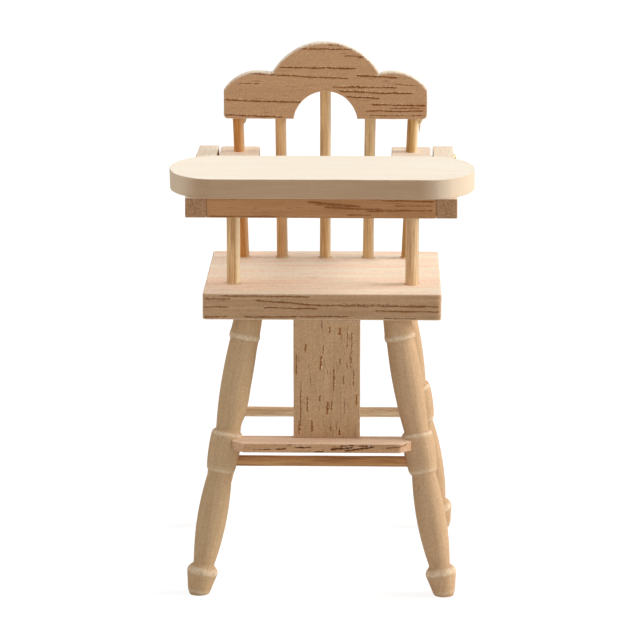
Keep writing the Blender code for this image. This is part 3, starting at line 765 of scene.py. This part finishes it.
for label in post_woods:
    low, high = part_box("front_post_" + label)
    rod_feet["front_post_" + label] = ((low + high) / 2, (high.x - low.x) / 2)
for count, (node, (foot, radius)) in enumerate(rod_feet.items()):
    place = Matrix.Translation((foot.x, foot.y, seat_top))
    mesh = fibre_ring_mesh("raised_fibres_" + node, radius, ring_seed_step * count)
    ring = show_piece("raised_fibres_" + node, mesh, ring_finish, place)
    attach(ring, "chair")

# Crest rail: a cloud-shaped board fretsawn from tan wood with many thin broken dark streaks on its face.
# It leans back on the ends of the spindles; its sawn rim is sanded round and coloured pale cream, with paler
# marks along its upward arrises: a painted highlight.
crest_width = 0.0386
crest_thickness = 0.0029
crest_middle_radius = 0.0116
crest_middle_height = 0.00305
crest_side_radius = 0.00782
crest_side = Vector((0.0127, 0.0013))
crest_arch_radius = 0.00605
crest_arch_drop = 0.0008
crest_corner = 0.0008
crest_spacing = 0.0004


def arc(centre, radius, start, end):
    """Closely spaced points along an arc, without its last point."""
    count = max(3, int(abs(end - start) * radius / crest_spacing))
    angles = [start + (end - start) * step / count for step in range(count)]
    return [Vector(centre) + radius * Vector((math.cos(angle), math.sin(angle))) for angle in angles]


def crest_outline():
    """The cloud shape, anticlockwise from its right lower corner."""
    half = crest_width / 2
    middle = Vector((0, crest_middle_height))
    gap = crest_side - middle
    reach = (gap.length_squared + crest_middle_radius**2 - crest_side_radius**2) / (2 * gap.length)
    across = math.sqrt(crest_middle_radius**2 - reach**2)
    way = gap.normalized()
    valley = middle + way * reach + Vector((-way.y, way.x)) * across
    side_valley = math.atan2(valley.y - crest_side.y, valley.x - crest_side.x)
    middle_valley = math.atan2(valley.y - middle.y, valley.x - middle.x)
    shoulder = math.acos((half - crest_side.x) / crest_side_radius)
    side = arc(crest_side, crest_side_radius, shoulder, side_valley)
    right = arc((half - crest_corner, crest_corner), crest_corner, -math.pi / 2, 0)
    right += spaced(Vector((half, crest_corner)), side[0], crest_spacing) + side
    hump = arc(middle, crest_middle_radius, middle_valley, math.pi - middle_valley)
    left = [Vector((-point.x, point.y)) for point in reversed(right)]
    arch_angle = math.asin(crest_arch_drop / crest_arch_radius)
    arch = arc((0, -crest_arch_drop), crest_arch_radius, math.pi - arch_angle, arch_angle)
    left_foot = spaced(left[-1], arch[0], crest_spacing)[1:]
    right_foot = spaced(Vector((-arch[0].x, 0)), right[0], crest_spacing)
    return right + hump + left + left_foot + arch + right_foot


crest_streaks = [
    (-5.3, 5.6, 13.3, -0.004, 0.11, 0.4), (0.5, 4.8, 14, -0.008, 0.08, 0.42),
    (6, 7.3, 11.8, -0.02, 0.13, 0.34), (3.4, 6, 12, 0, 0.06, 0.46), (-8.9, 6, 9.8, -0.014, 0.11, 0.36),
    (-16.2, 4.6, 8.7, -0.05, 0.11, 0.44), (5.8, 13.8, 8.3, -0.05, 0.12, 0.42),
    (-16.5, -12.5, 6.7, 0, 0.06, 0.46), (1.1, 6.8, 6.1, 0, 0.12, 0.46), (6, 13.6, 6, 0, 0.1, 0.42),
    (2.5, 9.8, 5.3, -0.03, 0.14, 0.44), (8.5, 16.7, 5, -0.006, 0.11, 0.4),
    (3.9, 10.3, 4.3, -0.06, 0.12, 0.36), (-19.1, -3.6, 3.6, -0.03, 0.12, 0.42),
    (8.6, 19.1, 2.8, -0.02, 0.12, 0.42), (7.4, 18.7, 1.6, 0, 0.11, 0.44), (-19, -8, 0.8, -0.04, 0.11, 0.42),
    (8, 18.5, 0.7, 0, 0.06, 0.46), (12, 19, 2.1, 0, 0.07, 0.46), (13, 18, 6.6, -0.03, 0.06, 0.5),
]
# The pale cream side colour and the strong pale edge marks are a painted highlight taken from the lit upper
# rim.
crest_finish = bare_wood(
    "crest_wood", (0.63, 0.375, 0.207), (0.537, 0.312, 0.166), (0.97, 0.83, 0.67), 0.31,
    side=((0.97, 0.87, 0.73), (0.93, 0.81, 0.66)), end=((0.64, 0.55, 0.44), (0.6, 0.5, 0.39)),
    streaks=crest_streaks, streaks_on="face", lifted_and_lit=0.75, fleck=(0.76, 0.54, 0.35),
    contrast=0.7, fuzz=0.15, edge=1.0, relief=0.00007,
)
crest_foot = Vector((0, spindle_y + crest_rise * math.tan(back_lean) + seat_middle.y, seat_top + crest_rise))
crest_place = Matrix.Translation(crest_foot) @ Matrix.Rotation(math.pi / 2 - back_lean, 4, "X")
crest = sawn_board(
    "crest_board", crest_outline(), crest_thickness, crest_finish, crest_place,
    ease=0.0002, sway=0.00004, seed=5, lit_way=Vector((0, 1)),
)
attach(crest, "chair")
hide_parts("crest_rail")

# Glue drops: pale glue that was squeezed out of the outer spindles' holes and dried under the crest rail.
# Each hangs on the right of its spindle, and the right one ends in a thread.
glue_offsets = {"left": 0.0011, "right": 0.00125}
glue_profiles = {
    "left": [(0.00055, -0.0004), (0.00052, 0.0003), (0.0004, 0.0007), (0.00022, 0.00095), (0.00004, 0.00105)],
    "right": [
        (0.0008, -0.0004), (0.00072, 0.0001), (0.00045, 0.0006), (0.00022, 0.001), (0.00012, 0.0024),
        (0.00003, 0.0026),
    ],
}


def dried_glue():
    """Dried wood glue, glossy and yellowish, with dust in it."""
    material, tree, shader = new_finish("dried_glue")
    spot = mesh_mark(tree, "grain")["Vector"]
    cloud = fade(tree, speckle(tree, spot, 2200, 3, 0.6), 0.35, 0.65)
    fill_in(tree, shader, {
        "Base Color": lay_over(tree, cloud, (0.8, 0.6, 0.38), (0.62, 0.42, 0.22)),
        "Roughness": fade(tree, speckle(tree, spot, 6000, 2), 0.3, 0.7, 0.3, 0.5),
        "Normal": bumps(tree, cloud, 0.00004, 0.6),
    })
    return material


glue_finish = dried_glue()
for label, profile in glue_profiles.items():
    top_x = spindles["outer_" + label][1]
    high = Vector((top_x + glue_offsets[label], crest_foot.y, crest_foot.z))
    place = along(high, high - Vector((0, 0, 0.001)))
    drop = turned_piece(
        "glue_drop_" + label, profile, glue_finish, place, sides=24, seed=51,
        unevenness=0.00006, spacing=0.0001,
    )
    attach(drop, "chair")

# Armrests: two pale flat strips that run from the outer spindles forward over the posts.
# They slope a little forward and carry the hinge nails in their outer edges.
hinge_back = 0.0176
hinge_height = 0.018625
hinge = Vector((0, seat_middle.y + hinge_back, seat_top + hinge_height))
tray_slope = math.radians(2.0)
tray_frame = Matrix.Translation(hinge) @ Matrix.Rotation(tray_slope, 4, "X")
bar_height = 0.0036
arm_width = 0.0075
arm_thickness = 0.0026
arm_front = 0.0316
arm_tail = 0.0014
arm_top = bar_height / 2
arm_x = outer_foot + (outer_top - outer_foot) * hinge_height / crest_rise
quarter_turn = Matrix.Rotation(-math.pi / 2, 4, "Z")
arm_woods = {
    "left": ((0.96, 0.77, 0.59), (0.85, 0.66, 0.49), 0.89, ((0.58, 0.4, 0.27), (0.46, 0.29, 0.19))),
    "right": ((0.945, 0.785, 0.615), (0.845, 0.665, 0.515), 0.91, ((0.62, 0.43, 0.3), (0.48, 0.3, 0.2))),
}


def on_arm(x, front, tail, height):
    """Where a strip lies that runs along one side of the chair, over the hinge."""
    return tray_frame @ Matrix.Translation((x, (tail - front) / 2, height)) @ quarter_turn


for side, label in ((-1, "left"), (1, "right")):
    node = "armrest_" + label
    bright, deep, seed, edges = arm_woods[label]
    finish = bare_wood(
        "arm_wood_" + label, bright, deep, (0.76, 0.58, 0.43), seed, side=edges,
        end=((0.56, 0.36, 0.25), (0.4, 0.24, 0.16)), pores=0.3,
    )
    arm = sawn_board(
        node + "_board", dense_board(arm_front + arm_tail, arm_width, corner=0.0009), arm_thickness, finish,
        on_arm(side * arm_x, arm_front, arm_tail, arm_top - arm_thickness / 2),
        ease=0.00015, sway=0.00005, seed=6 + side,
    )
    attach(arm, "chair")
    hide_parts(node)

# Tray: a pale cream board with rounded ends, sawn with a slightly wavy rim and laid over the armrests.
# Two bars carry it back to the hinge nails, and an orange-brown apron closes the front between the bars.
tray_length = 0.0552
tray_depth = 0.0202
tray_thickness = 0.00355
tray_end = 0.0082
tray_front = 0.04379
bar_width = 0.00385
bar_tail = 0.0021
bar_setback = 0.0006
bar_gap = 0.0004
apron_thickness = 0.003
tray_underside = bar_height / 2


def tray_outline():
    """Straight sides with half-ellipse ends, anticlockwise."""
    straight = tray_length / 2 - tray_end
    angles = [math.pi * step / 48 - math.pi / 2 for step in range(49)]
    ways = [Vector((tray_end * math.cos(angle), tray_depth / 2 * math.sin(angle))) for angle in angles]
    right = [Vector((straight, 0)) + way for way in ways]
    left = [-point for point in right]
    return right + spaced(right[-1], left[0])[1:] + left + spaced(left[-1], right[0])[1:]


# The rim is painted paler towards both rounded ends: a painted highlight where it turns towards the side
# lamps.
tray_finish = bare_wood(
    "tray_wood", (0.963, 0.906, 0.77), (0.94, 0.796, 0.643), (0.72, 0.52, 0.37), 0.97,
    side=((0.517, 0.345, 0.214), (0.429, 0.279, 0.167)),
    lit_ends=((-0.0262, -0.0212), (0.0172, 0.0226), (0.72, 0.57, 0.41)),
    contrast=0.8, pores=0.1, fuzz=0.04, edge=0.5, relief=0.00003,
)
tray_offset = Vector((0, -tray_front + tray_depth / 2, tray_underside + tray_thickness / 2))
tray = sawn_board(
    "tray_board", tray_outline(), tray_thickness, tray_finish, tray_frame @ Matrix.Translation(tray_offset),
    ease=0.0001, sway=0.00012, seed=9,
)
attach(tray, "tray")
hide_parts("tray_top")

arm_outer_x = arm_x + arm_width / 2
bar_inner_x = arm_outer_x + bar_gap
bar_front = tray_front - bar_setback
apron_streaks = [
    (-2.6, 7.2, 1.2, -0.09, 0.12, 0.36), (0.4, 11, 0.25, -0.05, 0.11, 0.38),
    (7.8, 20, -0.45, 0.01, 0.12, 0.38), (10.8, 20.2, 1.4, -0.01, 0.08, 0.42),
    (-20, -7.2, -1.55, 0.004, 0.06, 0.4), (4.6, 9, -1.2, 0, 0.07, 0.42), (-1, 6, 0.7, -0.06, 0.07, 0.42),
    (13, 20, 0.5, 0, 0.06, 0.46),
]
apron_finish = bare_wood(
    "apron_wood", (0.42, 0.225, 0.115), (0.3, 0.15, 0.07), (0.46, 0.26, 0.14), 0.19,
    side=((0.539, 0.272, 0.124), (0.366, 0.171, 0.07)), streaks=apron_streaks,
    streak_colour=(0.17, 0.05, 0.008), streak_share=0.65, stain_colour=(0.28, 0.1, 0.025), stain_share=0.75,
    contrast=1.2, edge=0.3,
)
apron = sawn_board(
    "tray_apron_board", dense_board(2 * bar_inner_x, apron_thickness, corner=0.0002), bar_height,
    apron_finish, tray_frame @ Matrix.Translation((0, -bar_front + apron_thickness / 2, 0)),
    ease=0.0001, sway=0.00002, seed=10,
)
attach(apron, "tray")
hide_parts("tray_apron")

bar_finish = bare_wood(
    "bar_wood", (0.947, 0.859, 0.674), (0.878, 0.658, 0.492), (0.72, 0.54, 0.39), 0.29,
    side=((0.6, 0.42, 0.28), (0.48, 0.32, 0.2)), end=((0.472, 0.265, 0.139), (0.303, 0.162, 0.083)),
    pores=0.3,
)
for side, label in ((-1, "left"), (1, "right")):
    node = "tray_bar_" + label
    bar = sawn_board(
        node + "_strip", dense_board(bar_front + bar_tail, bar_width, corner=0.0003), bar_height, bar_finish,
        on_arm(side * (bar_inner_x + bar_width / 2), bar_front, bar_tail, 0),
        ease=0.0001, sway=0.00004, seed=12 + side,
    )
    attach(bar, "tray")
    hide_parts(node)

# Hinge nails: two small brass wire nails with domed heads, driven through the bars into the armrests.
# The tray turns on them.
nail_radius = 0.00035
nail_head = 0.0007
nail_dome = 0.0005
nail_grip = 0.003
nail_point = 0.0006
nail_play = 0.0001


def nail_profile():
    """The nail's outline from its tip to the top of its domed head, as (radius, distance from the middle)."""
    tip = arm_outer_x - nail_grip
    shoulder = bar_inner_x + bar_width + nail_play
    rim = shoulder + 0.0001
    points = [(0.00005, tip), (nail_radius, tip + nail_point), (nail_radius, shoulder)]
    points += [(nail_head, shoulder), (nail_head, rim)]
    for step in range(1, 8):
        angle = math.pi / 2 * step / 8
        points.append((nail_head * math.cos(angle), rim + (shoulder + nail_dome - rim) * math.sin(angle)))
    return points + [(0.00003, shoulder + nail_dome)]


def brass_wire():
    """Brass wire, slightly tarnished and scratched."""
    material, tree, shader = new_finish("nail_brass")
    spot = mesh_mark(tree, "grain")["Vector"]
    tarnish = fade(tree, speckle(tree, spot, 2400, 3, 0.6), 0.4, 0.65)
    scratch = speckle(tree, spot, 12000, 2, 0.6)
    fill_in(tree, shader, {
        "Base Color": lay_over(tree, tarnish, (0.6, 0.5, 0.24), (0.33, 0.24, 0.09)),
        "Roughness": fade(tree, scratch, 0.3, 0.7, 0.18, 0.4),
        "Metallic": 1.0, "Normal": bumps(tree, scratch, 0.00001, 0.5),
    })
    return material


nail_finish = brass_wire()
for side, label in ((-1, "left"), (1, "right")):
    node = "hinge_nail_" + label
    nail = turned_piece(
        node + "_wire", nail_profile(), nail_finish, along(hinge, hinge + Vector((side, 0, 0))),
        sides=32, seed=40 + side, unevenness=0.000005, spacing=0.0001, soften=False,
    )
    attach(nail, "chair")
    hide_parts(node)

# Studio: a plain white floor that keeps a faint shadow, weak even light all round, and four broad soft lamps.
# The strongest stands on the right; weaker ones stand on the left, in front and high behind the chair.
floor_size = 3.0


def seen_directly(tree):
    """One for a ray from the camera, off gloss or through glass, and nought for light that only bounces."""
    path = lay_node(tree, "ShaderNodeLightPath").outputs
    direct = reckon(tree, "MAXIMUM", path["Is Camera Ray"], path["Is Glossy Ray"])
    return reckon(tree, "MAXIMUM", direct, path["Is Transmission Ray"])


half = floor_size / 2
floor_corners = [(-half, -half, 0), (half, -half, 0), (half, half, 0), (-half, half, 0)]
floor_mesh = bpy.data.meshes.new("studio_floor")
floor_mesh.from_pydata(floor_corners, [], [(0, 1, 2, 3)])
floor_finish = bpy.data.materials.new("studio_floor")
floor_finish.use_nodes = True
floor_tree = floor_finish.node_tree
floor_tree.nodes.clear()
paper = lay_node(floor_tree, "ShaderNodeBsdfDiffuse", {"Color": (0.8, 0.8, 0.8)}).outputs[0]
dim_paper = lay_node(floor_tree, "ShaderNodeBsdfDiffuse", {"Color": (0.3, 0.3, 0.3)}).outputs[0]
glow = lay_node(floor_tree, "ShaderNodeEmission", {"Color": (1, 1, 1), "Strength": 0.8}).outputs[0]
lit_paper = lay_node(floor_tree, "ShaderNodeAddShader", {0: dim_paper, 1: glow}).outputs[0]
floor_shares = {0: seen_directly(floor_tree), 1: paper, 2: lit_paper}
floor_mix = lay_node(floor_tree, "ShaderNodeMixShader", floor_shares).outputs[0]
lay_node(floor_tree, "ShaderNodeOutputMaterial", {"Surface": floor_mix})
floor = show_piece("studio_floor", floor_mesh, floor_finish, Matrix.Identity(4))

world = bpy.data.worlds.new("studio")
bpy.context.scene.world = world
world.use_nodes = True
world_tree = world.node_tree
world_level = fade(world_tree, seen_directly(world_tree), 0.0, 1.0, 0.15, 1.0)
fill_in(world_tree, world_tree.nodes["Background"], {"Color": (1, 1, 1), "Strength": world_level})

lamps = {
    "right_lamp": ((0.903, 0.079, 0.423), 3.3, 40), "left_lamp": ((-0.819, 0.0, 0.574), 1.0, 50),
    "front_lamp": ((0.310, -0.852, 0.423), 0.8, 40), "back_lamp": ((0, 0.707, 0.707), 0.5, 50),
}
for name, (direction, strength, spread) in lamps.items():
    lamp = bpy.data.lights.new(name, "SUN")
    lamp.energy = strength
    lamp.angle = math.radians(spread)
    holder = bpy.data.objects.new(name, lamp)
    holder.rotation_euler = Vector(direction).to_track_quat("Z", "Y").to_euler()
    bpy.context.scene.collection.objects.link(holder)

camera_step = 0.012
camera_shift = 0.00073
camera_distance = 0.5692707
camera_height = 0.1800058
camera_tilt = 0.2299
camera = bpy.data.cameras.new("camera")
camera.sensor_width = 36
camera.lens = 175.1427
camera.clip_start = 0.01
camera_holder = bpy.data.objects.new("camera", camera)
camera_holder.location = (camera_step - camera_shift, seat_middle.y - camera_distance, camera_height)
camera_holder.rotation_euler = (math.pi / 2 - camera_tilt, 0, math.atan(camera_step / camera_distance))
bpy.context.scene.collection.objects.link(camera_holder)
bpy.context.scene.camera = camera_holder
bpy.context.scene.view_settings.view_transform = "Standard"
